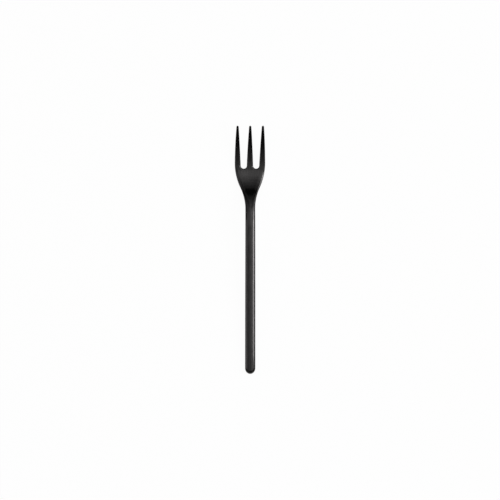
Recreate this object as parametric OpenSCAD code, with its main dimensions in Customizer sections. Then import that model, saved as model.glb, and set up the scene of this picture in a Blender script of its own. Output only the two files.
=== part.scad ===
// Cake fork with three tines and a slim bar handle, in millimetres.
// It lies on a table: +Y runs from the handle's end to the tips, +Z is up,
// and the origin is on the table under the middle of the fork's box.

/* [Overall] */
// Length from the handle's end to the tips
fork_len = 150; // [135:1:175]

/* [Head] */
// Width over the outer tines, at the widest place
head_w = 18.4; // [17:0.1:21]
// Distance from the tips to the widest place
wide_to_tip = 22.3; // [18:0.1:26]
// Length of a slot, from its round bottom to the tips
slot_len = 25.8; // [22:0.1:29]
// Width of a slot at its root
slot_w = 3.7; // [3:0.1:4.2]
// Width of the middle tine at its root
tine_w = 3.8; // [3.2:0.1:4.4]
// Distance between neighbouring tips
tip_pitch = 7.65; // [7:0.05:8.2]
// Width of a tine just behind its rounded tip
tip_w = 1.25; // [0.9:0.05:1.8]
// Length of a tip's rounding
tip_round = 0.8; // [0.4:0.1:1.5]
// Length of the shoulder's reverse curve, from the widest place to the neck
shoulder_len = 28; // [24:0.5:34]
// Radius of the shoulder beside the palm, seen from above
shoulder_r = 35.5; // [28:0.5:42]
// How far the middle of the palm lies below its sides
dish = 0.3; // [0.1:0.1:1]
// Length over which the palm's soft sides sharpen, up to the widest place
sharpen_len = 10; // [5:0.5:14]

/* [Neck and handle] */
// Width of the neck, where the head is joined to the handle
neck_w = 5.95; // [5:0.05:7]
// Width of the handle towards its end
handle_w = 6.2; // [5.2:0.05:8]
// Length of the handle's round end, seen from above
end_len = 3.5; // [2.5:0.1:5]
// Length of the handle's round end, seen from the side
end_round = 2; // [1:0.1:3]

/* [Thickness] */
// Thickness of the handle at its end
handle_t = 4; // [3:0.1:5.5]
// Thickness of the neck
neck_t = 3.6; // [3:0.1:4.5]
// Thickness of the palm at the bottom of the slots
palm_t = 1.8; // [1.5:0.1:2.6]
// Thickness of the tines behind their rounded tips
tip_t = 1.2; // [0.8:0.1:1.8]
// Depth of the rounding along the edges of the tines and slots
edge_round = 1; // [0.5:0.05:1.4]

/* [Side profile] */
// Height of the underside above the table at the crest behind the neck
crest_rise = 5.6; // [3:0.1:8]
// Height of the underside above the table at the tips
tip_rise = 7.6; // [5:0.1:10]
// Slope at which the tines leave the palm, in degrees
tine_slope = 11; // [8:0.5:13]
// Distance from the tips to the point of the palm that rests on the table
rest_to_tip = 29; // [26:0.5:32]
// Radius of the underside over the crest
crest_r = 49; // [42:1:65]
// Radius of the underside through the palm, from the heel to the roots of the tines
heel_r = 29; // [22:1:36]

/* [Joint] */
// Width of the head's tang, inside the handle
tang_w = 3; // [2:0.1:3.6]
// Thickness of the tang
tang_t = 1.6; // [1:0.1:2]
// Length of the tang
tang_len = 6; // [4:0.5:8]
// Gap for the braze all round the tang and at its end
braze_gap = 0.05; // [0.02:0.01:0.1]

/* [Hidden] */
coat = [0.09, 0.09, 0.09];

// Power of the superellipse that rounds every section
section_power = 2.2;
// How much of each tine side's taper comes late, towards the tip
middle_bow = 0.4;
slot_bow = 0.2;
outer_bow = 0.85;
// How much of the handle's widening comes early, close to the neck
handle_bow = -1;
// Where the straight of the handle's underside meets the table, as a share of its end's rounding
foot_share = 0.93;
// Steps of the round edges, the slot bottoms and the handle's section, in degrees
edge_step = 22.5;
slot_step = 22.5;
handle_step = 11.25;
// Steps around the round ends, and the step at which a short straight edge is left
end_step = 16;
end_stop = 80;
// Rows along the palm and a tine, and along the handle up to its crest and on to the neck
palm_rows = 20;
tine_rows = 12;
handle_rows = 32;
neck_rows = 4;
// Crowding of the palm's rows towards the slots
palm_crowding = 1.6;

// Stations along the fork, counted from the handle's end
slot_bottom_y = fork_len - slot_len;
root_y = slot_bottom_y + slot_w / 2;
wide_y = fork_len - wide_to_tip;
neck_y = wide_y - shoulder_len;
rest_y = fork_len - rest_to_tip;
foot_y = foot_share * end_round;

// Places across the head at the roots of the slots
slot_x = tine_w / 2 + slot_w / 2;
slot_outer_x = tine_w / 2 + slot_w;

// The shoulder's reverse curve is two tangent arcs, which meet at shoulder_turn
shoulder_drop = (head_w - neck_w) / 2;
neck_r = (shoulder_len ^ 2 + shoulder_drop ^ 2) / (2 * shoulder_drop) - shoulder_r;
shoulder_turn = shoulder_len * shoulder_r / (shoulder_r + neck_r);

// The underside is a straight handle, tangent arcs over the crest and through the palm,
// and tines that leave the palm at tine_slope and bend further up to the tips
heel_angle = acos(1 - crest_rise / (crest_r + heel_r));
inflection_y = rest_y - heel_r * sin(heel_angle);
crest_y = inflection_y - crest_r * sin(heel_angle);
crest_centre = [crest_y - foot_y, crest_rise - crest_r];
handle_angle = atan2(crest_centre[1], crest_centre[0]) + asin(crest_r / norm(crest_centre));
tangent_y = foot_y + sqrt(norm(crest_centre) ^ 2 - crest_r ^ 2) * cos(handle_angle);
rising_y = rest_y + heel_r * sin(tine_slope);
rising_z = heel_r * (1 - cos(tine_slope));
tine_run = fork_len - rising_y;
tine_bend = (tip_rise - rising_z - tine_run * tan(tine_slope)) / tine_run ^ 2;

// Blends and profiles
function mix(a, b, q) = a + (b - a) * q;
function ease(q) = let (c = min(1, max(0, q))) c * c * (3 - 2 * c);
function bowed(a, b, q, bow) = mix(a, b, (1 - bow) * q + bow * q * q);
function rounding(q) = let (c = min(1, max(0, q))) (1 - (1 - c) ^ section_power) ^ (1 / section_power);
function sagitta(r, run) = r - sqrt(r * r - run * run);

// Height of the underside on the fork's centre line
function underside(y) =
    y >= rising_y ? let (run = y - rising_y) rising_z + run * tan(tine_slope) + tine_bend * run ^ 2
    : y >= inflection_y ? sagitta(heel_r, y - rest_y)
    : y >= tangent_y ? crest_rise - sagitta(crest_r, y - crest_y)
    : (y - foot_y) * tan(handle_angle);

// Blend from the neck's bar section at 0 to the palm's flat section at 1
function palm_share(y) = ease((y - neck_y) / (slot_bottom_y - neck_y));

function thickness(y) =
    y <= neck_y ? mix(handle_t, neck_t, y / neck_y)
    : y <= slot_bottom_y ? mix(neck_t, palm_t, palm_share(y))
    : mix(palm_t, tip_t, (y - slot_bottom_y) / slot_len);

// Share of the thickness that is left at the rounded tips and at the handle's end
function fullness(y) = rounding(min((fork_len - y) / tip_round, y / end_round));

// Half the width of the handle, and of the head from the neck to the tips
function handle_half(y) = bowed(neck_w / 2, handle_w / 2, 1 - y / neck_y, handle_bow);
function head_half(y) =
    let (run = wide_y - y)
    run < 0 ? bowed(head_w / 2, tip_pitch + tip_w / 2, -run / wide_to_tip, outer_bow)
    : run <= shoulder_turn ? head_w / 2 - sagitta(shoulder_r, run)
    : neck_w / 2 + sagitta(neck_r, shoulder_len - run);

// Depth of the rounding along the head's sides, soft like the neck's until they near the widest place
function side_round(y) = mix(neck_w / 2, edge_round, ease((y - wide_y) / sharpen_len + 1));

// The two sides of a tine, 0 on the left to 2 on the right
function along_tine(y) = (y - root_y) / (fork_len - root_y);
function middle_side(y) = bowed(tine_w / 2, tip_w / 2, along_tine(y), middle_bow);
function slot_side(y) = bowed(slot_outer_x, tip_pitch - tip_w / 2, along_tine(y), slot_bow);
function tine_sides(tine, y) =
    tine == 0 ? [-head_half(y), -slot_side(y)]
    : tine == 1 ? [-middle_side(y), middle_side(y)]
    : [slot_side(y), head_half(y)];

// A plan point is [x, y, share of the local thickness], and a patch is rows of plan points.
// Its top and bottom skins are the same patch, lifted by half the thickness each way.
function middle_z(p) =
    underside(p[1]) + thickness(p[1]) / 2 + dish * palm_share(p[1]) * ease(abs(p[0]) / head_half(p[1]));
function half_z(p) = thickness(p[1]) / 2 * fullness(p[1]) * p[2];
function skin(patch, side) =
    [for (row = patch) for (p = row) [p[0], p[1] - fork_len / 2, middle_z(p) + side * half_z(p)]];
function skins(patch) = concat(skin(patch, 1), skin(patch, -1));
function corners(patch) = len(patch) * len(patch[0]);

// Triangles of both skins of a patch whose points begin at first.
// A square's diagonal never joins two points of the rim, where the two skins meet.
function skin_faces(patch, first) =
    let (cols = len(patch[0]), below = corners(patch))
    [for (i = [0 : len(patch) - 2], j = [0 : cols - 2])
        let (
            a = first + i * cols + j,
            b = a + 1,
            c = b + cols,
            d = a + cols,
            on_rim = half_z(patch[i][j]) == 0 && half_z(patch[i + 1][j + 1]) == 0,
            top = on_rim ? [[a, d, b], [b, d, c]] : [[a, d, c], [a, c, b]]
        )
        each concat(top, [for (f = top) [below + f[2], below + f[1], below + f[0]]])];

// Points around the section at a row of the first patch, clockwise as seen from the handle's end
function section_ring(patch, row) =
    let (cols = len(patch[0]), top = row * cols, bottom = top + corners(patch))
    concat([for (j = [0 : cols - 1]) top + j], [for (j = [cols - 2 : -1 : 1]) bottom + j]);

// The tang's or socket's section, which is the neck's made smaller, at the joint face and at its end
joint_z = underside(neck_y) + neck_t / 2;
joint_tilt = asin((neck_y - crest_y) / crest_r);
function bar_points(section, w, t, reach) =
    [for (shift = [0, reach]) for (p = section)
        [
            p[0] * w / neck_w,
            p[1] - shift * cos(joint_tilt),
            joint_z + (p[2] - joint_z) * t / neck_t + shift * sin(joint_tilt)
        ]];

// Faces of the joint on the head: the flat face around the tang, the tang's wall and its end.
// The handle has the same faces the other way round.
function joint_faces(ring, first) =
    let (n = len(ring))
    concat(
        [for (k = [0 : n - 1])
            let (next = (k + 1) % n)
            each [
                [ring[k], ring[next], first + next, first + k],
                [first + k, first + next, first + n + next, first + n + k]
            ]],
        [[for (k = [0 : n - 1]) first + n + k]]
    );
function turned(faces) = [for (face = faces) [for (k = [len(face) - 1 : -1 : 0]) face[k]]];

// Columns across the head at the slot roots: [x, how far the palm stops short of the root row, on an edge]
function edge_steps(a, b) =
    let (depth = min(edge_round, 0.45 * (b - a)))
    [for (t = [0 : edge_step : 90]) depth * (1 - cos(t))];
function tine_columns(tine) =
    let (side = tine_sides(tine, root_y), steps = edge_steps(side[0], side[1]), last = len(steps) - 1)
    concat(
        [for (k = [0 : last]) [side[0] + steps[k], 0, k == 0]],
        [[(side[0] + side[1]) / 2, 0, false]],
        [for (k = [last : -1 : 0]) [side[1] - steps[k], 0, k == 0]]
    );
function slot_columns(x) =
    [for (t = [slot_step : slot_step : 180 - slot_step])
        [x - slot_w / 2 * cos(t), slot_w / 2 * sin(t), true]];
columns = concat(
    tine_columns(0), slot_columns(-slot_x), tine_columns(1), slot_columns(slot_x), tine_columns(2)
);

// Palm, from the joint at the neck to the roots of the tines and the round bottoms of the slots.
// Its columns run straight beside the slots and close up with the palm's width below them.
function column_x(x, y) =
    let (inner = slot_outer_x * min(1, head_half(y) / head_half(slot_bottom_y)))
    abs(x) <= slot_outer_x ? inner * x / slot_outer_x
    : sign(x) * mix(inner, head_half(y), (abs(x) - slot_outer_x) / (head_half(root_y) - slot_outer_x));
function palm_point(x, y) =
    let (
        to_side = (head_half(y) - abs(x)) / side_round(y),
        to_slot = (norm([abs(x) - slot_x, y - root_y]) - slot_w / 2) / edge_round
    )
    [x, y, rounding(min(to_side, to_slot))];
palm = [for (i = [0 : palm_rows])
    let (along = 1 - (1 - i / palm_rows) ^ palm_crowding)
    [for (j = [0 : len(columns) - 1])
        let (
            column = columns[j],
            y = mix(neck_y, root_y - column[1], along),
            x = column_x(column[0], y),
            on_side = j == 0 || j == len(columns) - 1,
            on_slot = i == palm_rows && column[2]
        )
        on_side || on_slot ? [x, y, 0] : palm_point(x, y)]];

// Tines, each starting on the palm's last row: stations are [y, share of the width]
taper_len = fork_len - root_y - tip_round;
tine_stations = concat(
    [for (i = [1 : tine_rows]) [root_y + taper_len * i / tine_rows, 1]],
    [for (t = [end_step : end_step : end_stop])
        [fork_len - tip_round * (1 - sin(t) / sin(end_stop)), cos(t)]]
);
function tine_row(tine, station) =
    let (
        root = tine_sides(tine, root_y),
        side = tine_sides(tine, station[0]),
        centre = (side[0] + side[1]) / 2,
        half = station[1] * (side[1] - side[0]) / 2,
        inner = min(edge_round, half),
        outer = tine == 1 ? inner : min(side_round(station[0]), 2 * half - inner)
    )
    [for (column = tine_columns(tine))
        let (
            across = (2 * column[0] - root[0] - root[1]) / (root[1] - root[0]),
            outward = tine == 0 ? -across : across
        )
        [
            centre + half * across,
            station[0],
            column[2] ? 0 : rounding(half * min((1 - outward) / outer, (1 + outward) / inner))
        ]];
function tine_patch(tine) =
    let (
        count = len(tine_columns(tine)),
        first = tine * (count + len(slot_columns(0))),
        root_row = [for (j = [0 : count - 1]) palm[palm_rows][first + j]]
    )
    concat([root_row], [for (station = tine_stations) tine_row(tine, station)]);

// Handle, from its round end over the crest to the joint at the neck: stations are [y, share of the width]
top_y = min(crest_y, neck_y - neck_rows);
handle_stations = concat(
    [for (t = [end_stop : -end_step : end_step]) [end_len * (1 - sin(t) / sin(end_stop)), cos(t)]],
    [for (i = [0 : handle_rows]) [mix(end_len, top_y, i / handle_rows), 1]],
    [for (i = [1 : neck_rows]) [mix(top_y, neck_y, i / neck_rows), 1]]
);
handle_patch = [for (station = handle_stations)
    [for (t = [0 : handle_step : 180])
        [-handle_half(station[0]) * station[1] * cos(t), station[0], rounding(1 - abs(cos(t)))]]];

// Tines, palm and neck in one piece, with the tang that goes into the handle
module head() {
    patches = [palm, tine_patch(0), tine_patch(1), tine_patch(2)];
    function first(k) = k == 0 ? 0 : first(k - 1) + 2 * corners(patches[k - 1]);
    points = [for (patch = patches) each skins(patch)];
    ring = section_ring(palm, 0);
    section = [for (k = ring) points[k]];
    color(coat)
        polyhedron(
            points = concat(points, bar_points(section, tang_w, tang_t, tang_len)),
            faces = concat(
                [for (k = [0 : len(patches) - 1]) each skin_faces(patches[k], first(k))],
                joint_faces(ring, len(points))
            )
        );
}

// Bar handle with the socket for the tang
module handle() {
    points = skins(handle_patch);
    ring = section_ring(handle_patch, len(handle_patch) - 1);
    section = [for (k = ring) points[k]];
    socket = bar_points(section, tang_w + 2 * braze_gap, tang_t + 2 * braze_gap, tang_len + braze_gap);
    color(coat)
        polyhedron(
            points = concat(points, socket),
            faces = concat(skin_faces(handle_patch, 0), turned(joint_faces(ring, len(points))))
        );
}

head();
handle();
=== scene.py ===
"""Cake fork: a satin black steel fork with three tines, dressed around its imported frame."""

from math import acos, asin, atan2, cos, hypot, pi, radians, sin, sqrt, tan

import bmesh
import bpy
from bpy.props import (
    FloatProperty,
    FloatVectorProperty,
    IntProperty,
    PointerProperty,
    StringProperty,
)
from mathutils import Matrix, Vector


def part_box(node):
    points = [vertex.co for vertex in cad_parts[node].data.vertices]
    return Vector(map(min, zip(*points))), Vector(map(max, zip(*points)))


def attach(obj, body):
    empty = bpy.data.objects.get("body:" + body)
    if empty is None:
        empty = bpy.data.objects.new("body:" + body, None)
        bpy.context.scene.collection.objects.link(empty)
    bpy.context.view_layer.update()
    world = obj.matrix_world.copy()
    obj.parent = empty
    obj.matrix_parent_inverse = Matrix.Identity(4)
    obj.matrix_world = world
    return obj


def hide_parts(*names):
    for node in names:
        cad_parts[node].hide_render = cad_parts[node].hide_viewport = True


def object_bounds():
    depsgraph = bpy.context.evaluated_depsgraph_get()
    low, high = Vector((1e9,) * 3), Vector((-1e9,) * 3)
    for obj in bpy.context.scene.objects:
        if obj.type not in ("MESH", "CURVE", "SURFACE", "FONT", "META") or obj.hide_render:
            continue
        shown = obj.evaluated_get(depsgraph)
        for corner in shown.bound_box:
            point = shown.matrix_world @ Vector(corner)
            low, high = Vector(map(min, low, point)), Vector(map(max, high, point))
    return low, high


bl_info = {
    "name": "Cake fork",
    "version": (1, 0, 0),
    "blender": (4, 5, 0),
    "location": "View3D > Sidebar > Cake fork",
    "description": "Builds a satin black cake fork and its studio around a packed frame",
    "category": "Object",
}

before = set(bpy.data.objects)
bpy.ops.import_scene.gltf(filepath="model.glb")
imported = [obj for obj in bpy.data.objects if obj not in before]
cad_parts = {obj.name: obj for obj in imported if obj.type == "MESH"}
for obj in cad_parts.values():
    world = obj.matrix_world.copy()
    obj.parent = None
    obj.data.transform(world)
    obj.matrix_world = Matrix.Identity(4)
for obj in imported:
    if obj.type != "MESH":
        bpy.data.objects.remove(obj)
CAD_LOW, CAD_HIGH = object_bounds()
HANDLE_LOW, HANDLE_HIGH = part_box("handle")

MM = 0.001

# The fork's own length runs from the handle's end, station 0, to the tips
ALONG = (0, 1, 0)
END_Y = CAD_LOW.y
FORK_LEN = CAD_HIGH.y - CAD_LOW.y
NECK_Y = HANDLE_HIGH.y - END_Y

# Power of the superellipse that rounds every section
SECTION_POWER = 2.2
# How much of each tine side's taper comes late, towards the tip
MIDDLE_BOW = 0.4
SLOT_BOW = 0.2
OUTER_BOW = 0.85
# The most of a tine's root that the rounding along one of its edges takes
EDGE_LIMIT = 0.45
# Where the straight of the handle's underside meets the table, as a share of its end's rounding
FOOT_SHARE = 0.93
# Points closer than this are one point
WELD = 1e-4 * MM
# Edges that turn more than this stay crisp
CRISP_ANGLE = radians(60)


def length(label, description, default):
    """A property that holds a length, given in millimetres."""
    return FloatProperty(
        name=label,
        description=description,
        default=default * MM,
        subtype="DISTANCE",
        precision=5,
    )


def angle(label, description, default):
    """A property that holds an angle, given in degrees."""
    return FloatProperty(
        name=label,
        description=description,
        default=radians(default),
        subtype="ANGLE",
    )


def fraction(label, description, default):
    """A property that holds a number from 0 to 1."""
    return FloatProperty(name=label, description=description, default=default, min=0, max=1)


def colour(label, description, default):
    """A property that holds a colour, as an sRGB hex value."""
    return StringProperty(name=label, description=description, default=default)


class ForkHead(bpy.types.PropertyGroup):
    """Sizes of the tines and the palm."""

    width: FloatProperty(
        name="Width",
        description="Over the outer tines, at the widest place",
        default=CAD_HIGH.x - CAD_LOW.x,
        subtype="DISTANCE",
    )
    wide_to_tip: length("Widest place", "From the tips to the widest place", 22.3)
    slot_len: length("Slot length", "From a slot's round bottom to the tips", 25.8)
    slot_width: length("Slot width", "Width of a slot at its root", 3.7)
    tine_width: length("Tine width", "Width of the middle tine at its root", 3.8)
    tip_pitch: length("Tip pitch", "Between neighbouring tips", 7.65)
    tip_width: length("Tip width", "Width of a tine just behind its rounded tip", 1.25)
    tip_round: length("Tip rounding", "Length of a tip's rounding", 0.8)
    shoulder_radius: length("Shoulder radius", "Beside the palm, seen from above", 35.5)
    dish: length("Dish", "How far the palm's middle lies below its sides", 0.3)
    palm_thick: length("Palm thickness", "At the bottom of the slots", 1.8)
    tip_thick: length("Tip thickness", "Behind the rounded tips", 1.2)
    edge_round: length("Edge rounding", "Depth of the rounding along tines and slots", 1.0)
    sharpen_len: length(
        "Sharpening",
        "Length over which the palm's soft sides sharpen, up to the widest place",
        10.0,
    )


class ForkHandle(bpy.types.PropertyGroup):
    """Sizes of the bar handle and its joint with the head."""

    neck_width: length("Neck width", "Width where head and handle meet", 5.95)
    end_width: FloatProperty(
        name="End width",
        description="Width of the handle towards its end",
        default=HANDLE_HIGH.x - HANDLE_LOW.x,
        subtype="DISTANCE",
    )
    end_len: length("Round end", "Length of the round end, seen from above", 3.5)
    end_round: length("End rounding", "Length of the round end, seen from the side", 2.0)
    end_thick: length("End thickness", "Thickness of the handle at its end", 4.0)
    fall: length("Fall", "How far the handle's top falls towards its end", 0.4)
    fall_len: length("Fall length", "Length over which the handle's top falls", 12.0)
    neck_thick: length("Neck thickness", "Thickness where head and handle meet", 3.6)
    tang_width: length("Tang width", "Width of the head's tang", 3.0)
    tang_thick: length("Tang thickness", "Thickness of the tang", 1.6)
    tang_len: length("Tang length", "Length of the tang", 6.0)
    braze_gap: length("Braze gap", "All round the tang and at its end", 0.05)
    rows: IntProperty(name="Rows", description="Points along the handle", default=320, min=16)
    columns: IntProperty(name="Columns", description="Points around it", default=96, min=12)


class ForkProfile(bpy.types.PropertyGroup):
    """The fork's underside, seen from the side."""

    crest_rise: length("Crest rise", "Height of the underside at the crest behind the neck", 5.6)
    tip_rise: length("Tip rise", "Height of the underside at the tips", 7.6)
    tine_slope: angle("Tine slope", "Slope at which the tines leave the palm", 11)
    rest_to_tip: length("Rest", "From the tips to where the palm rests on the table", 29.0)
    crest_radius: length("Crest radius", "Radius over the crest", 49.0)
    heel_radius: length("Heel radius", "Radius through the palm, from the heel to the tines", 29.0)


class ForkCoat(bpy.types.PropertyGroup):
    """The satin black coat."""

    groove: colour("Groove", "The coat in the brushing's grooves, as sRGB", "#333232")
    ridge: colour("Ridge", "The coat on the brushing's ridges, as sRGB", "#444343")
    worn: colour("Rubbed edge", "The coat where it is rubbed thin, as sRGB", "#494746")
    rubbing: fraction("Rubbing", "How much of the rubbed colour the outermost edges show", 0.6)
    roughness: fraction("Roughness", "How soft the coat's gloss is", 0.15)
    stroke_gloss: fraction("Stroke gloss", "How much the brushing varies the roughness", 0.05)
    cloud_gloss: fraction("Cloud gloss", "How much the polishing varies the roughness", 0.02)
    relief: fraction("Relief", "How strongly the brushing's relief shows", 0.1)
    spread: fraction("Spread", "How much the brushing spreads the gloss across the fork", 0.3)
    glare: fraction("Glare", "How much of bare metal's grazing glare the coat leaves", 0.5)
    stroke_width: length("Stroke width", "Width of the brushing under the coat, drawn coarse", 0.3)
    stroke_len: length("Stroke length", "Length of the brushing under the coat", 14.0)
    cloud_size: length("Cloud size", "Size of the soft uneven places left by polishing", 9.0)


class ForkStage(bpy.types.PropertyGroup):
    """Floor, lamps and camera."""

    picture_width: length("Picture width", "What the picture's width takes in at the fork", 302.2)
    lens: FloatProperty(name="Lens", description="Focal length in millimetres", default=300, min=10)
    floor_radius: length("Floor radius", "Radius of the flat floor", 6000)
    cove_radius: length("Cove radius", "Radius of the floor's turned-up rim", 500)
    wall_height: length("Wall height", "Height of the rim's wall", 600)
    paper: colour("Paper", "Colour of floor and rim, as sRGB", "#FFFFFF")
    shadow: fraction("Shadow", "How much of the fork's shadow shows", 0.04)
    room: fraction("Room", "Brightness of the dim room", 0.04)
    aim: FloatVectorProperty(
        name="Aim",
        description="Where the camera looks",
        default=(-0.125 * MM, 0.05 * MM, CAD_HIGH.z / 2),
        subtype="XYZ",
    )
    lean: angle("Lean", "How far the camera stands to the left of straight above", 1.8)
    roll: angle("Roll", "How far the camera is turned in its own picture", -0.063)


class CakeFork(bpy.types.PropertyGroup):
    """Everything that can be set on the fork and its studio."""

    head: PointerProperty(type=ForkHead)
    handle: PointerProperty(type=ForkHandle)
    profile: PointerProperty(type=ForkProfile)
    coat: PointerProperty(type=ForkCoat)
    stage: PointerProperty(type=ForkStage)


def linear(hex_colour):
    """An sRGB hex colour as linear RGBA."""
    values = [int(hex_colour[k : k + 2], 16) / 255 for k in (1, 3, 5)]
    return (*(v / 12.92 if v <= 0.04045 else ((v + 0.055) / 1.055) ** 2.4 for v in values), 1)


def add_node(tree, kind, inputs=None, **settings):
    """Adds a node, sets its properties, and links or sets its inputs by name or number."""
    node = tree.nodes.new(kind)
    for name, value in settings.items():
        setattr(node, name, value)
    for key, value in (inputs or {}).items():
        if isinstance(value, bpy.types.NodeSocket):
            tree.links.new(value, node.inputs[key])
        else:
            node.inputs[key].default_value = value
    return node


def mix(a, b, share):
    """A share of the way from a to b."""
    return a + (b - a) * share


def ease(share):
    """From 0 to 1, with a gentle start and end."""
    share = min(1, max(0, share))
    return share * share * (3 - 2 * share)


def bowed(a, b, share, bow):
    """From a to b, with some of the way saved for the end."""
    return mix(a, b, (1 - bow) * share + bow * share * share)


def rounding(share):
    """Height of the rounded rim, from 0 on the edge to 1."""
    share = min(1, max(0, share))
    return (1 - (1 - share) ** SECTION_POWER) ** (1 / SECTION_POWER)


def sagitta(radius, run):
    """How far an arc has left its tangent after a run along it."""
    return radius - sqrt(radius * radius - run * run)


def waves(count):
    """Shares from 0 to 1 that crowd towards both ends."""
    return [(1 - cos(pi * k / count)) / 2 for k in range(count + 1)]


class Underside:
    """Height of the underside along the middle: straight handle, crest, heel and tines."""

    def __init__(self, profile, handle):
        self.rest_y = FORK_LEN - profile.rest_to_tip
        self.foot_y = FOOT_SHARE * handle.end_round
        self.crest_radius = profile.crest_radius
        self.crest_rise = profile.crest_rise
        self.heel_radius = profile.heel_radius
        heel_angle = acos(1 - profile.crest_rise / (profile.crest_radius + profile.heel_radius))
        self.turn_y = self.rest_y - profile.heel_radius * sin(heel_angle)
        self.crest_y = self.turn_y - profile.crest_radius * sin(heel_angle)
        self.tine_slope = tan(profile.tine_slope)
        self.rising_y = self.rest_y + profile.heel_radius * sin(profile.tine_slope)
        self.rising_z = profile.heel_radius * (1 - cos(profile.tine_slope))
        tine_run = FORK_LEN - self.rising_y
        bend_rise = profile.tip_rise - self.rising_z - tine_run * self.tine_slope
        self.tine_bend = bend_rise / tine_run**2
        run = self.crest_y - self.foot_y
        drop = profile.crest_rise - profile.crest_radius
        reach = hypot(run, drop)
        self.handle_angle = atan2(drop, run) + asin(profile.crest_radius / reach)
        straight = sqrt(reach**2 - profile.crest_radius**2)
        self.tangent_y = self.foot_y + straight * cos(self.handle_angle)
        self.neck_tilt = asin((NECK_Y - self.crest_y) / profile.crest_radius)

    def height(self, y):
        if y >= self.rising_y:
            run = y - self.rising_y
            return self.rising_z + run * self.tine_slope + self.tine_bend * run**2
        if y >= self.turn_y:
            return sagitta(self.heel_radius, y - self.rest_y)
        if y >= self.tangent_y:
            return self.crest_rise - sagitta(self.crest_radius, y - self.crest_y)
        return (y - self.foot_y) * tan(self.handle_angle)


# Faces across a tine's rounded edge and its flat, and around a slot's bottom
EDGE_STEPS = 10
FLAT_STEPS = 5
SLOT_STEPS = 24
# Rows of faces along the palm, a tine and a tine's tip
PALM_ROWS = 96
TINE_ROWS = 64
TIP_ROWS = 12


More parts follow.
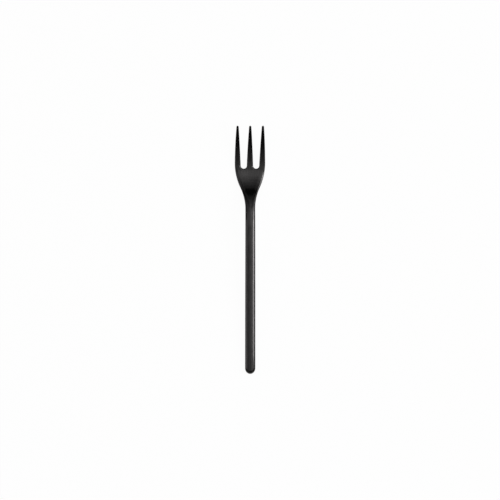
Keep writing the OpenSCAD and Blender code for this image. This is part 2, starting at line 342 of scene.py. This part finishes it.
class HeadPlan:
    """The head seen from above, as patches of points (x, station, share of local thickness)."""

    def __init__(self, head, handle, underside):
        self.head = head
        self.handle = handle
        self.underside = underside
        self.slot_bottom_y = FORK_LEN - head.slot_len
        self.root_y = self.slot_bottom_y + head.slot_width / 2
        self.wide_y = FORK_LEN - head.wide_to_tip
        self.slot_x = (head.tine_width + head.slot_width) / 2
        self.slot_outer_x = head.tine_width / 2 + head.slot_width
        self.shoulder_len = self.wide_y - NECK_Y
        drop = (head.width - handle.neck_width) / 2
        both_radii = (self.shoulder_len**2 + drop**2) / (2 * drop)
        self.neck_radius = both_radii - head.shoulder_radius
        self.shoulder_turn = self.shoulder_len * head.shoulder_radius / both_radii

    def palm_share(self, y):
        """0 at the neck's bar section to 1 at the palm's flat section."""
        return ease((y - NECK_Y) / (self.slot_bottom_y - NECK_Y))

    def thickness(self, y):
        if y <= self.slot_bottom_y:
            return mix(self.handle.neck_thick, self.head.palm_thick, self.palm_share(y))
        along = (y - self.slot_bottom_y) / self.head.slot_len
        return mix(self.head.palm_thick, self.head.tip_thick, along)

    def half_width(self, y):
        """Half the width over the head, from the neck to the tips."""
        head = self.head
        run = self.wide_y - y
        if run < 0:
            at_tips = head.tip_pitch + head.tip_width / 2
            return bowed(head.width / 2, at_tips, -run / head.wide_to_tip, OUTER_BOW)
        if run <= self.shoulder_turn:
            return head.width / 2 - sagitta(head.shoulder_radius, run)
        return self.handle.neck_width / 2 + sagitta(self.neck_radius, self.shoulder_len - run)

    def tine_sides(self, tine, y):
        """Left and right side of a tine: -1 is the left one, 0 the middle one, 1 the right one."""
        head = self.head
        along = (y - self.root_y) / (FORK_LEN - self.root_y)
        if tine == 0:
            half = bowed(head.tine_width / 2, head.tip_width / 2, along, MIDDLE_BOW)
            return -half, half
        slot_side = bowed(self.slot_outer_x, head.tip_pitch - head.tip_width / 2, along, SLOT_BOW)
        sides = (slot_side, self.half_width(y))
        return sides if tine > 0 else (-sides[1], -sides[0])

    def tine_columns(self, tine):
        """Columns at a tine's root.

        Each is its x, how far the palm stops short of the root row, and whether it is on an edge.
        """
        left, right = self.tine_sides(tine, self.root_y)
        depth = min(self.head.edge_round, EDGE_LIMIT * (right - left))
        steps = [depth * (1 - cos(pi / 2 * k / EDGE_STEPS)) for k in range(EDGE_STEPS + 1)]
        flat = [mix(left + depth, right - depth, k / FLAT_STEPS) for k in range(1, FLAT_STEPS)]
        xs = [left + s for s in steps] + flat + [right - s for s in reversed(steps)]
        return [(x, 0, x in (left, right)) for x in xs]

    def slot_columns(self, x):
        """Columns that end on the round bottom of a slot."""
        radius = self.head.slot_width / 2
        turns = [pi * k / SLOT_STEPS for k in range(1, SLOT_STEPS)]
        return [(x - radius * cos(t), radius * sin(t), True) for t in turns]

    def columns(self):
        """All columns across the head, and where each tine's columns begin."""
        groups = [
            self.tine_columns(-1),
            self.slot_columns(-self.slot_x),
            self.tine_columns(0),
            self.slot_columns(self.slot_x),
            self.tine_columns(1),
        ]
        firsts = [sum(len(g) for g in groups[:k]) for k in (0, 2, 4)]
        return [column for group in groups for column in group], firsts

    def column_x(self, x, y):
        """Columns run straight beside the slots and close up with the palm's width below them."""
        inner = self.slot_outer_x * min(1, self.half_width(y) / self.half_width(self.slot_bottom_y))
        if abs(x) <= self.slot_outer_x:
            return inner * x / self.slot_outer_x
        outward = (abs(x) - self.slot_outer_x) / (self.half_width(self.root_y) - self.slot_outer_x)
        return mix(inner, self.half_width(y), outward) * (1 if x > 0 else -1)

    def side_round(self, y):
        """Depth of the sides' rounding: soft as the neck's, then sharper to the widest place."""
        sharp = ease((y - self.wide_y) / self.head.sharpen_len + 1)
        return mix(self.handle.neck_width / 2, self.head.edge_round, sharp)

    def palm_point(self, x, y):
        """A point of the palm, rounded towards the nearer of the side and the slot's bottom."""
        to_side = self.half_width(y) - abs(x)
        to_slot = hypot(abs(x) - self.slot_x, y - self.root_y) - self.head.slot_width / 2
        inward = min(to_side / self.side_round(y), to_slot / self.head.edge_round)
        return x, y, rounding(inward)

    def palm(self, columns):
        """From the joint at the neck to the tines' roots and the slots' round bottoms."""
        rows = []
        for along in waves(PALM_ROWS):
            row = []
            for k, (column_x, short, on_edge) in enumerate(columns):
                y = mix(NECK_Y, self.root_y - short, along)
                x = self.column_x(column_x, y)
                on_rim = k in (0, len(columns) - 1) or (along == 1 and on_edge)
                row.append((x, y, 0) if on_rim else self.palm_point(x, y))
            rows.append(row)
        return rows

    def tine(self, tine, root_row):
        """One tine, from the palm's last row to its rounded tip."""
        head = self.head
        taper_len = FORK_LEN - self.root_y - head.tip_round
        stations = [(self.root_y + taper_len * k / TINE_ROWS, 1) for k in range(1, TINE_ROWS + 1)]
        turns = [pi / 2 * k / TIP_ROWS for k in range(1, TIP_ROWS + 1)]
        stations += [(FORK_LEN - head.tip_round * (1 - sin(t)), cos(t)) for t in turns]
        root_left, root_right = self.tine_sides(tine, self.root_y)
        rows = [root_row]
        for y, share in stations:
            left, right = self.tine_sides(tine, y)
            half = share * (right - left) / 2
            inner = max(WELD, min(head.edge_round, half))
            outer = max(WELD, min(self.side_round(y), 2 * half - inner)) if tine else inner
            row = []
            for column_x, _, on_edge in self.tine_columns(tine):
                across = (2 * column_x - root_left - root_right) / (root_right - root_left)
                outward = across * (tine or 1)
                inward = half * min((1 - outward) / outer, (1 + outward) / inner)
                rim = 0 if on_edge else rounding(inward)
                row.append(((left + right) / 2 + half * across, y, rim))
            rows.append(row)
        return rows

    def lifted(self, point, side):
        """A plan point on the top skin for side 1, or on the bottom skin for side -1."""
        x, y, share = point
        thick = self.thickness(y)
        fullness = rounding((FORK_LEN - y) / self.head.tip_round)
        dish = self.head.dish * self.palm_share(y) * ease(abs(x) / self.half_width(y))
        middle = self.underside.height(y) + thick / 2 + dish
        return x, y + END_Y, middle + side * thick / 2 * fullness * share


def add_skins(points, faces, plan, patch):
    """Adds a patch's top and bottom skins."""
    columns = len(patch[0])
    for side in (1, -1):
        first = len(points)
        points.extend(plan.lifted(point, side) for row in patch for point in row)
        for i in range(len(patch) - 1):
            for j in range(columns - 1):
                a = first + i * columns + j
                square = (a, a + 1, a + 1 + columns, a + columns)
                faces.append(square if side == 1 else square[::-1])


def add_tang(points, faces, plan, neck_row):
    """Adds the flat joint face at the neck and the tang that stands out of it."""
    handle = plan.handle
    ring = [plan.lifted(p, 1) for p in neck_row]
    ring += [plan.lifted(p, -1) for p in reversed(neck_row[1:-1])]
    joint_z = plan.underside.height(NECK_Y) + handle.neck_thick / 2
    narrow = handle.tang_width / handle.neck_width
    thin = handle.tang_thick / handle.neck_thick
    tang = [(x * narrow, y, mix(joint_z, z, thin)) for x, y, z in ring]
    back = handle.tang_len * cos(plan.underside.neck_tilt)
    up = handle.tang_len * sin(plan.underside.neck_tilt)
    end = [(x, y - back, z + up) for x, y, z in tang]
    first = len(points)
    count = len(ring)
    points.extend(ring + tang + end)
    end_middle = len(points)
    points.append(tuple(sum(values) / count for values in zip(*end)))
    for k in range(count):
        after = (k + 1) % count
        for inner in (first, first + count):
            faces.append((inner + after, inner + k, inner + count + k, inner + count + after))
        faces.append((first + 2 * count + after, first + 2 * count + k, end_middle))


def clean_mesh(mesh):
    """Welds shared points, turns all faces outwards, and keeps only true corners crisp."""
    shape = bmesh.new()
    shape.from_mesh(mesh)
    bmesh.ops.remove_doubles(shape, verts=shape.verts, dist=WELD)
    bmesh.ops.dissolve_degenerate(shape, edges=shape.edges, dist=WELD)
    bmesh.ops.recalc_face_normals(shape, faces=shape.faces)
    shape.to_mesh(mesh)
    shape.free()
    mesh.polygons.foreach_set("use_smooth", [True] * len(mesh.polygons))
    mesh.set_sharp_from_angle(angle=CRISP_ANGLE)


def finish_piece(piece, node):
    """Gives a piece to the frame in place of its CAD node."""
    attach(piece, "root")
    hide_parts(node)


# Most values of a noise pattern lie between these
NOISE_SWING = (0.3, 0.7)
# Pointiness at which the coat starts to look rubbed, and at which it looks rubbed most
RUBBED_EDGE = (0.52, 0.6)
# Depth of a brush stroke, as a share of its width
STROKE_DEPTH = 0.25


def satin_black_coat(coat):
    """Stainless steel, brushed lengthwise and coated black in a vacuum chamber.

    The coat is a dark mirror: soft bright lines where it faces a lamp, and near black where it
    faces the room.
    """
    name = "Satin black coated steel"
    if name in bpy.data.materials:
        return bpy.data.materials[name]
    material = bpy.data.materials.new(name)
    material.use_nodes = True
    tree = material.node_tree
    shader = tree.nodes["Principled BSDF"]
    shader.inputs["Metallic"].default_value = 1
    shader.inputs["Anisotropic"].default_value = coat.spread
    shader.inputs["Specular Tint"].default_value = (coat.glare, coat.glare, coat.glare, 1)
    place = add_node(tree, "ShaderNodeTexCoord").outputs["Object"]
    surface = add_node(tree, "ShaderNodeNewGeometry").outputs

    # Brushing runs along the fork. Real strokes are finer than a pixel, so these are drawn wider.
    stroke = Vector((1 / coat.stroke_width, 1 / coat.stroke_len, 1 / coat.stroke_width))
    stroke_place = add_node(tree, "ShaderNodeMapping", {"Vector": place, "Scale": stroke})
    strokes = add_node(
        tree,
        "ShaderNodeTexNoise",
        {"Vector": stroke_place.outputs["Vector"], "Scale": 1, "Detail": 3, "Roughness": 0.6},
    ).outputs["Fac"]

    # Polishing by hand leaves soft clouds of more and less gloss
    cloud = Vector((1, 1, 1)) / coat.cloud_size
    cloud_place = add_node(tree, "ShaderNodeMapping", {"Vector": place, "Scale": cloud})
    clouds = add_node(
        tree,
        "ShaderNodeTexNoise",
        {"Vector": cloud_place.outputs["Vector"], "Scale": 1, "Detail": 2, "Roughness": 0.5},
    ).outputs["Fac"]

    ranges = {
        # The strokes show through the coat as lighter and darker hairlines
        "hairlines": (strokes, *NOISE_SWING, 0, 1),
        # The coat is rubbed a little thinner, and so lighter, along the outer edges
        "rubbed": (surface["Pointiness"], *RUBBED_EDGE, 0, coat.rubbing),
        # Strokes and clouds both vary the gloss
        "uneven": (strokes, *NOISE_SWING, -coat.stroke_gloss, coat.stroke_gloss),
        "cloudy": (clouds, *NOISE_SWING, -coat.cloud_gloss, coat.cloud_gloss),
    }
    limits = ("Value", "From Min", "From Max", "To Min", "To Max")
    shown = {}
    for effect, terms in ranges.items():
        ranged = add_node(tree, "ShaderNodeMapRange", dict(zip(limits, terms)))
        shown[effect] = ranged.outputs["Result"]
    tone = linear(coat.groove)
    for effect, lighter in (("hairlines", coat.ridge), ("rubbed", coat.worn)):
        blend = add_node(
            tree,
            "ShaderNodeMix",
            {"Factor": shown[effect], "A": tone, "B": linear(lighter)},
            data_type="RGBA",
        )
        tone = next(o for o in blend.outputs if o.type == "RGBA")
    rough = coat.roughness
    for effect in ("uneven", "cloudy"):
        varied = add_node(tree, "ShaderNodeMath", {0: shown[effect], 1: rough}, operation="ADD")
        rough = varied.outputs[0]
    across = add_node(
        tree,
        "ShaderNodeVectorMath",
        {0: surface["Normal"], 1: ALONG},
        operation="CROSS_PRODUCT",
    )
    depth = STROKE_DEPTH * coat.stroke_width
    relief = add_node(
        tree,
        "ShaderNodeBump",
        {"Height": strokes, "Strength": coat.relief, "Distance": depth},
    )
    tree.links.new(tone, shader.inputs["Base Color"])
    tree.links.new(rough, shader.inputs["Roughness"])
    tree.links.new(relief.outputs["Normal"], shader.inputs["Normal"])
    tree.links.new(across.outputs["Vector"], shader.inputs["Tangent"])
    return material


def studio_paper(stage):
    """White paper: even white to the eye and in the metal's gloss, with a trace of shadow."""
    material = bpy.data.materials.new("White studio paper")
    material.use_nodes = True
    tree = material.node_tree
    tree.nodes.clear()
    rays = add_node(tree, "ShaderNodeLightPath").outputs
    seen = rays["Is Camera Ray"]
    for ray in ("Is Glossy Ray", "Is Transmission Ray"):
        either = add_node(tree, "ShaderNodeMath", {0: seen, 1: rays[ray]}, operation="MAXIMUM")
        seen = either.outputs[0]
    glow_share = add_node(
        tree,
        "ShaderNodeMath",
        {0: seen, 1: 1 - stage.shadow},
        operation="MULTIPLY",
    )
    paper = add_node(tree, "ShaderNodeBsdfDiffuse", {"Color": linear(stage.paper)})
    glow = add_node(tree, "ShaderNodeEmission", {"Color": linear(stage.paper), "Strength": 1})
    both = add_node(
        tree,
        "ShaderNodeMixShader",
        {0: glow_share.outputs[0], 1: paper.outputs[0], 2: glow.outputs[0]},
    )
    add_node(tree, "ShaderNodeOutputMaterial", {"Surface": both.outputs[0]})
    return material


# Steps of the handle's rule: each is a Math node's name, its operation and its terms
HANDLE_RULE = (
    # Rows crowd towards the round end and the joint
    ("turn", "MULTIPLY", "row", pi),
    ("row cosine", "COSINE", "turn"),
    ("along", "MULTIPLY_ADD", "row cosine", -0.5, 0.5),
    ("station", "MULTIPLY", "along", "Length"),
    ("from neck", "SUBTRACT", 1, "along"),
    # The width grows quickly behind the neck and then hardly at all
    ("left to grow", "MULTIPLY", "along", "along"),
    ("grown", "SUBTRACT", 1, "left to grow"),
    ("gain", "SUBTRACT", "End width", "Neck width"),
    ("bar width", "MULTIPLY_ADD", "gain", "grown", "Neck width"),
    ("thinning", "SUBTRACT", "End thickness", "Neck thickness"),
    ("bar thickness", "MULTIPLY_ADD", "thinning", "from neck", "Neck thickness"),
    # The top falls away gently towards the end
    ("fall ratio", "DIVIDE", "station", "Fall length"),
    ("fall share", "MINIMUM", "fall ratio", 1),
    ("fall rest", "SUBTRACT", 1, "fall share"),
    ("fall square", "MULTIPLY", "fall rest", "fall rest"),
    ("fallen", "MULTIPLY", "fall square", "Fall"),
    ("thickness", "SUBTRACT", "bar thickness", "fallen"),
    # The end is half an ellipse from above
    ("end ratio", "DIVIDE", "station", "Round end"),
    ("end share", "MINIMUM", "end ratio", 1),
    ("end rest", "SUBTRACT", 1, "end share"),
    ("end square", "MULTIPLY", "end rest", "end rest"),
    ("end inside", "SUBTRACT", 1, "end square"),
    ("end width share", "SQRT", "end inside"),
    # The end is half a superellipse from the side
    ("inverse power", "DIVIDE", 1, "Section power"),
    ("nose ratio", "DIVIDE", "station", "End rounding"),
    ("nose share", "MINIMUM", "nose ratio", 1),
    ("nose rest", "SUBTRACT", 1, "nose share"),
    ("nose power", "POWER", "nose rest", "Section power"),
    ("nose inside", "SUBTRACT", 1, "nose power"),
    ("nose fullness", "POWER", "nose inside", "inverse power"),
    # The section is a superellipse
    ("round angle", "MULTIPLY", "round", 2 * pi),
    ("across", "COSINE", "round angle"),
    ("upward", "SINE", "round angle"),
    ("side", "SIGN", "upward"),
    ("across size", "ABSOLUTE", "across"),
    ("across power", "POWER", "across size", "Section power"),
    ("rim inside", "SUBTRACT", 1, "across power"),
    ("rim", "POWER", "rim inside", "inverse power"),
    # The underside is straight and then runs over the crest
    ("from foot", "SUBTRACT", "station", "Foot"),
    ("slope", "TANGENT", "Handle angle"),
    ("straight", "MULTIPLY", "from foot", "slope"),
    ("from crest", "SUBTRACT", "station", "Crest station"),
    ("crest run", "MULTIPLY", "from crest", "from crest"),
    ("crest square", "MULTIPLY", "Crest radius", "Crest radius"),
    ("crest inside", "SUBTRACT", "crest square", "crest run"),
    ("crest height", "SQRT", "crest inside"),
    ("crest centre", "SUBTRACT", "Crest rise", "Crest radius"),
    ("crest", "ADD", "crest height", "crest centre"),
    ("past tangent", "GREATER_THAN", "station", "Tangent station"),
    ("bend", "SUBTRACT", "crest", "straight"),
    ("underside", "MULTIPLY_ADD", "bend", "past tangent", "straight"),
    # Where each point lies
    ("half width", "MULTIPLY", "bar width", 0.5),
    ("half thickness", "MULTIPLY", "thickness", 0.5),
    ("end half width", "MULTIPLY", "half width", "end width share"),
    ("x", "MULTIPLY", "end half width", "across"),
    ("y", "ADD", "station", "End place"),
    ("lift size", "MULTIPLY", "half thickness", "nose fullness"),
    ("lift rim", "MULTIPLY", "lift size", "rim"),
    ("middle", "ADD", "underside", "half thickness"),
    ("z", "MULTIPLY_ADD", "lift rim", "side", "middle"),
)
# Steps that shrink the joint face to the socket's mouth and push it in
SOCKET_RULE = (
    # The joint face is the only one whose points all lie in the joint's plane
    ("joint place", "ADD", "End place", "Length"),
    ("from joint", "SUBTRACT", "joint place", "face y"),
    ("at joint", "LESS_THAN", "from joint", WELD),
    # The mouth is that face, drawn in about its middle
    ("mouth width", "DIVIDE", "Socket width", "Neck width"),
    ("mouth thickness", "DIVIDE", "Socket thickness", "Neck thickness"),
    ("mouth x", "MULTIPLY", "face x", "mouth width"),
    ("above joint", "SUBTRACT", "face z", "Joint height"),
    ("mouth z", "MULTIPLY_ADD", "above joint", "mouth thickness", "Joint height"),
    # The socket runs back along the tilted tang
    ("tilt cosine", "COSINE", "Joint tilt"),
    ("tilt sine", "SINE", "Joint tilt"),
    ("push y", "MULTIPLY", "tilt cosine", "Socket depth"),
    ("push back", "MULTIPLY", "push y", -1),
    ("push up", "MULTIPLY", "tilt sine", "Socket depth"),
)


def add_rule(tree, values, rule):
    """Adds a rule's Math nodes in order, and keeps what each gives under its name."""
    for name, operation, *terms in rule:
        inputs = {k: values.get(term, term) for k, term in enumerate(terms)}
        step = add_node(tree, "ShaderNodeMath", inputs, operation=operation, label=name)
        values[name] = step.outputs[0]


def handle_tree(sizes):
    """Geometry Nodes for the handle: a tube shaped into the bar, with the socket pushed in."""
    tree = bpy.data.node_groups.new("Bar handle", "GeometryNodeTree")
    tree.interface.new_socket(name="Geometry", in_out="OUTPUT", socket_type="NodeSocketGeometry")
    tree.interface.new_socket(name="Rows", in_out="INPUT", socket_type="NodeSocketInt")
    tree.interface.new_socket(name="Columns", in_out="INPUT", socket_type="NodeSocketInt")
    tree.interface.new_socket(name="Coat", in_out="INPUT", socket_type="NodeSocketMaterial")
    for name in sizes:
        tree.interface.new_socket(name=name, in_out="INPUT", socket_type="NodeSocketFloat")
    given = add_node(tree, "NodeGroupInput").outputs
    values = {name: given[name] for name in sizes}
    share = add_node(tree, "GeometryNodeSplineParameter").outputs["Factor"]

    line = add_node(tree, "GeometryNodeCurvePrimitiveLine", {"End": ALONG})
    spine = add_node(
        tree,
        "GeometryNodeResampleCurve",
        {"Curve": line.outputs["Curve"], "Count": given["Rows"]},
    )
    ring = add_node(tree, "GeometryNodeCurvePrimitiveCircle", {"Resolution": given["Columns"]})
    kept = {}
    for name, curve in (("row", spine), ("round", ring)):
        keep = add_node(tree, "GeometryNodeCaptureAttribute", {"Geometry": curve.outputs["Curve"]})
        keep.capture_items.new("FLOAT", name)
        tree.links.new(share, keep.inputs[name])
        values[name] = keep.outputs[name]
        kept[name] = keep.outputs["Geometry"]
    tube = add_node(
        tree,
        "GeometryNodeCurveToMesh",
        {"Curve": kept["row"], "Profile Curve": kept["round"], "Fill Caps": True},
    )
    add_rule(tree, values, HANDLE_RULE)
    place = add_node(tree, "ShaderNodeCombineXYZ", {0: values["x"], 1: values["y"], 2: values["z"]})
    bar = add_node(
        tree,
        "GeometryNodeSetPosition",
        {"Geometry": tube.outputs["Mesh"], "Position": place.outputs["Vector"]},
    )

    position = add_node(tree, "GeometryNodeInputPosition").outputs["Position"]
    here = add_node(tree, "ShaderNodeSeparateXYZ", {0: position}).outputs
    values.update({"face x": here["X"], "face y": here["Y"], "face z": here["Z"]})
    add_rule(tree, values, SOCKET_RULE)
    face = add_node(
        tree,
        "GeometryNodeExtrudeMesh",
        {
            "Mesh": bar.outputs["Geometry"],
            "Selection": values["at joint"],
            "Offset Scale": 0,
            "Individual": False,
        },
    )
    mouth = add_node(
        tree,
        "ShaderNodeCombineXYZ",
        {0: values["mouth x"], 1: values["face y"], 2: values["mouth z"]},
    )
    rim = add_node(
        tree,
        "GeometryNodeSetPosition",
        {
            "Geometry": face.outputs["Mesh"],
            "Selection": face.outputs["Top"],
            "Position": mouth.outputs["Vector"],
        },
    )
    push = add_node(tree, "ShaderNodeCombineXYZ", {1: values["push back"], 2: values["push up"]})
    socket = add_node(
        tree,
        "GeometryNodeExtrudeMesh",
        {
            "Mesh": rim.outputs["Geometry"],
            "Selection": face.outputs["Top"],
            "Offset": push.outputs["Vector"],
            "Offset Scale": 1,
            "Individual": False,
        },
    )
    whole = add_node(tree, "GeometryNodeRealizeInstances", {"Geometry": socket.outputs["Mesh"]})
    coated = add_node(
        tree,
        "GeometryNodeSetMaterial",
        {"Geometry": whole.outputs["Geometry"], "Material": given["Coat"]},
    )
    add_node(tree, "NodeGroupOutput", {"Geometry": coated.outputs["Geometry"]})
    return tree


class CAKEFORK_OT_handle(bpy.types.Operator):
    """Makes the bar handle with its round end and its socket"""

    bl_idname = "cake_fork.handle"
    bl_label = "Handle"

    def execute(self, context):
        fork = context.scene.cake_fork
        handle = fork.handle
        underside = Underside(fork.profile, handle)
        sizes = {
            "Length": NECK_Y,
            "End place": END_Y,
            "Neck width": handle.neck_width,
            "End width": handle.end_width,
            "Neck thickness": handle.neck_thick,
            "End thickness": handle.end_thick,
            "Fall": handle.fall,
            "Fall length": handle.fall_len,
            "Round end": handle.end_len,
            "End rounding": handle.end_round,
            "Section power": SECTION_POWER,
            "Foot": underside.foot_y,
            "Handle angle": underside.handle_angle,
            "Tangent station": underside.tangent_y,
            "Crest station": underside.crest_y,
            "Crest radius": underside.crest_radius,
            "Crest rise": underside.crest_rise,
            "Joint height": underside.height(NECK_Y) + handle.neck_thick / 2,
            "Joint tilt": underside.neck_tilt,
            "Socket width": handle.tang_width + 2 * handle.braze_gap,
            "Socket thickness": handle.tang_thick + 2 * handle.braze_gap,
            "Socket depth": handle.tang_len + handle.braze_gap,
        }
        tree = handle_tree(sizes)
        piece = bpy.data.objects.new("fork_handle", bpy.data.meshes.new("fork_handle"))
        context.scene.collection.objects.link(piece)
        maker = piece.modifiers.new("Bar handle", "NODES")
        maker.node_group = tree
        given = {
            **sizes,
            "Rows": handle.rows,
            "Columns": handle.columns,
            "Coat": satin_black_coat(fork.coat),
        }
        for socket in tree.interface.items_tree:
            if socket.in_out == "INPUT":
                maker[socket.identifier] = given[socket.name]
        made = piece.evaluated_get(context.evaluated_depsgraph_get())
        mesh = bpy.data.meshes.new_from_object(made)
        piece.modifiers.clear()
        piece.data = mesh
        clean_mesh(mesh)
        finish_piece(piece, "handle")
        return {"FINISHED"}


class CAKEFORK_OT_head(bpy.types.Operator):
    """Makes the tines, the dished palm and the neck with its tang"""

    bl_idname = "cake_fork.head"
    bl_label = "Head"

    def execute(self, context):
        fork = context.scene.cake_fork
        plan = HeadPlan(fork.head, fork.handle, Underside(fork.profile, fork.handle))
        columns, firsts = plan.columns()
        palm = plan.palm(columns)
        points, faces = [], []
        add_skins(points, faces, plan, palm)
        for tine, first in zip((-1, 0, 1), firsts):
            root_row = palm[-1][first : first + len(plan.tine_columns(tine))]
            add_skins(points, faces, plan, plan.tine(tine, root_row))
        add_tang(points, faces, plan, palm[0])
        mesh = bpy.data.meshes.new("fork_head")
        mesh.from_pydata(points, [], faces)
        mesh.materials.append(satin_black_coat(fork.coat))
        clean_mesh(mesh)
        piece = bpy.data.objects.new("fork_head", mesh)
        context.scene.collection.objects.link(piece)
        finish_piece(piece, "head")
        return {"FINISHED"}


# Lamps as the fork sees them, in degrees from straight above: from and to on the right-hand side,
# from and to towards the tips, then how far off in metres and how bright, where white paper is 1
LAMPS = (
    ("right_softbox", (40.5, 67), (-6, 13.5), 3.7, 5.1),
    ("right_softbox_edge", (38, 69), (-10, 3), 3.72, 3.5),
    ("right_low_softbox", (51.5, 78), (10.5, 21.5), 3.75, 1.8),
    ("right_near_softbox", (10, 51), (-20, 20), 3.85, 0.96),
    ("right_fill", (6, 62), (-8, 32.5), 3.95, 0.395),
    ("overhead_strip", (-3, 9), (-9.5, 40), 4, 0.225),
    ("overhead_long_strip", (-7.5, 11.5), (-27.5, 32.5), 4.1, 0.18),
    ("overhead_middle", (-48, 17), (-5.5, 15.5), 3.9, 0.25),
    ("overhead_left", (-63.5, 6), (-21.5, 27), 4.05, 0.425),
    ("low_left_fill", (-76, -53), (-14, 3), 3.8, 1.55),
    ("tip_side_softbox", (-26, 21), (27, 47.5), 4.15, 0.195),
    ("tip_end_fill", (-50, 50), (66, 80), 3.8, 0.5),
    ("handle_end_fill", (-50, 50), (-78, -48), 3.8, 0.5),
)


class CAKEFORK_OT_stage(bpy.types.Operator):
    """Makes the white floor, the lamps, the dim room and the camera"""

    bl_idname = "cake_fork.stage"
    bl_label = "Stage"

    ROUND_STEPS = 96
    COVE_STEPS = 12

    def execute(self, context):
        stage = context.scene.cake_fork.stage
        context.scene.view_settings.view_transform = "Standard"
        self.make_floor(context, stage)
        self.make_lamps(context)
        self.make_room(context, stage)
        self.make_camera(context, stage)
        return {"FINISHED"}

    def make_floor(self, context, stage):
        """A round floor that turns up into a low wall, the same from every side."""
        flat, cove = stage.floor_radius, stage.cove_radius
        turns = [pi / 2 * k / self.COVE_STEPS for k in range(self.COVE_STEPS + 1)]
        outline = [(flat + cove * sin(t), cove * (1 - cos(t))) for t in turns]
        outline.append((flat + cove, stage.wall_height))
        rounds = self.ROUND_STEPS
        around = [2 * pi * k / rounds for k in range(rounds)]
        points = [(0, 0, 0)]
        for radius, height in outline:
            points += [(radius * cos(t), radius * sin(t), height) for t in around]
        faces = []
        for k in range(rounds):
            after = (k + 1) % rounds
            faces.append((0, 1 + k, 1 + after))
            for ring in range(len(outline) - 1):
                a = 1 + ring * rounds
                faces.append((a + k, a + rounds + k, a + rounds + after, a + after))
        mesh = bpy.data.meshes.new("studio_floor")
        mesh.from_pydata(points, [], faces)
        mesh.materials.append(studio_paper(stage))
        floor = bpy.data.objects.new("studio_floor", mesh)
        floor.location.z = CAD_LOW.z
        context.scene.collection.objects.link(floor)

    def make_lamps(self, context):
        """Soft rectangular lamps that all face the fork."""
        for name, side_span, tip_span, distance, brightness in LAMPS:
            side = radians(sum(side_span) / 2)
            tips = radians(sum(tip_span) / 2)
            lamp = bpy.data.lights.new(name, "AREA")
            lamp.shape = "RECTANGLE"
            lamp.size = 2 * distance * tan(radians(side_span[1] - side_span[0]) / 2)
            lamp.size_y = 2 * distance * tan(radians(tip_span[1] - tip_span[0]) / 2)
            lamp.energy = brightness * pi * lamp.size * lamp.size_y
            holder = bpy.data.objects.new(name, lamp)
            direction = Vector((sin(side) * cos(tips), sin(tips), cos(side) * cos(tips)))
            holder.location = direction * distance
            holder.rotation_euler = (-tips, side, 0)
            context.scene.collection.objects.link(holder)

    def make_room(self, context, stage):
        """A dim, even room around the lamps."""
        world = bpy.data.worlds.new("Dim room")
        world.use_nodes = True
        background = world.node_tree.nodes["Background"]
        background.inputs["Color"].default_value = (1, 1, 1, 1)
        background.inputs["Strength"].default_value = stage.room
        context.scene.world = world

    def make_camera(self, context, stage):
        """Almost straight above the fork, tips to the top of the picture."""
        lens = bpy.data.cameras.new("top_camera")
        lens.lens = stage.lens
        camera = bpy.data.objects.new("top_camera", lens)
        distance = stage.picture_width * stage.lens / lens.sensor_width
        direction = Vector((-sin(stage.lean), 0, cos(stage.lean)))
        camera.location = Vector(stage.aim) + direction * distance
        camera.rotation_euler = (0, -stage.lean, stage.roll)
        context.scene.collection.objects.link(camera)
        context.scene.camera = camera


class CAKEFORK_PT_panel(bpy.types.Panel):
    """Lists the fork's sizes and the buttons that make it"""

    bl_label = "Cake fork"
    bl_idname = "CAKEFORK_PT_panel"
    bl_space_type = "VIEW_3D"
    bl_region_type = "UI"
    bl_category = "Cake fork"

    def draw(self, context):
        fork = context.scene.cake_fork
        for group in (fork.head, fork.handle, fork.profile, fork.coat, fork.stage):
            box = self.layout.box()
            for name in group.__annotations__:
                box.prop(group, name)
        for operator in OPERATORS:
            self.layout.operator(operator.bl_idname)


OPERATORS = (CAKEFORK_OT_stage, CAKEFORK_OT_handle, CAKEFORK_OT_head)
CLASSES = (
    ForkHead,
    ForkHandle,
    ForkProfile,
    ForkCoat,
    ForkStage,
    CakeFork,
    *OPERATORS,
    CAKEFORK_PT_panel,
)


def register():
    for item in CLASSES:
        bpy.utils.register_class(item)
    bpy.types.Scene.cake_fork = PointerProperty(type=CakeFork)


def unregister():
    del bpy.types.Scene.cake_fork
    for item in reversed(CLASSES):
        bpy.utils.unregister_class(item)


def main():
    register()
    bpy.ops.cake_fork.stage()
    bpy.ops.cake_fork.handle()
    bpy.ops.cake_fork.head()


if __name__ == "__main__":
    main()
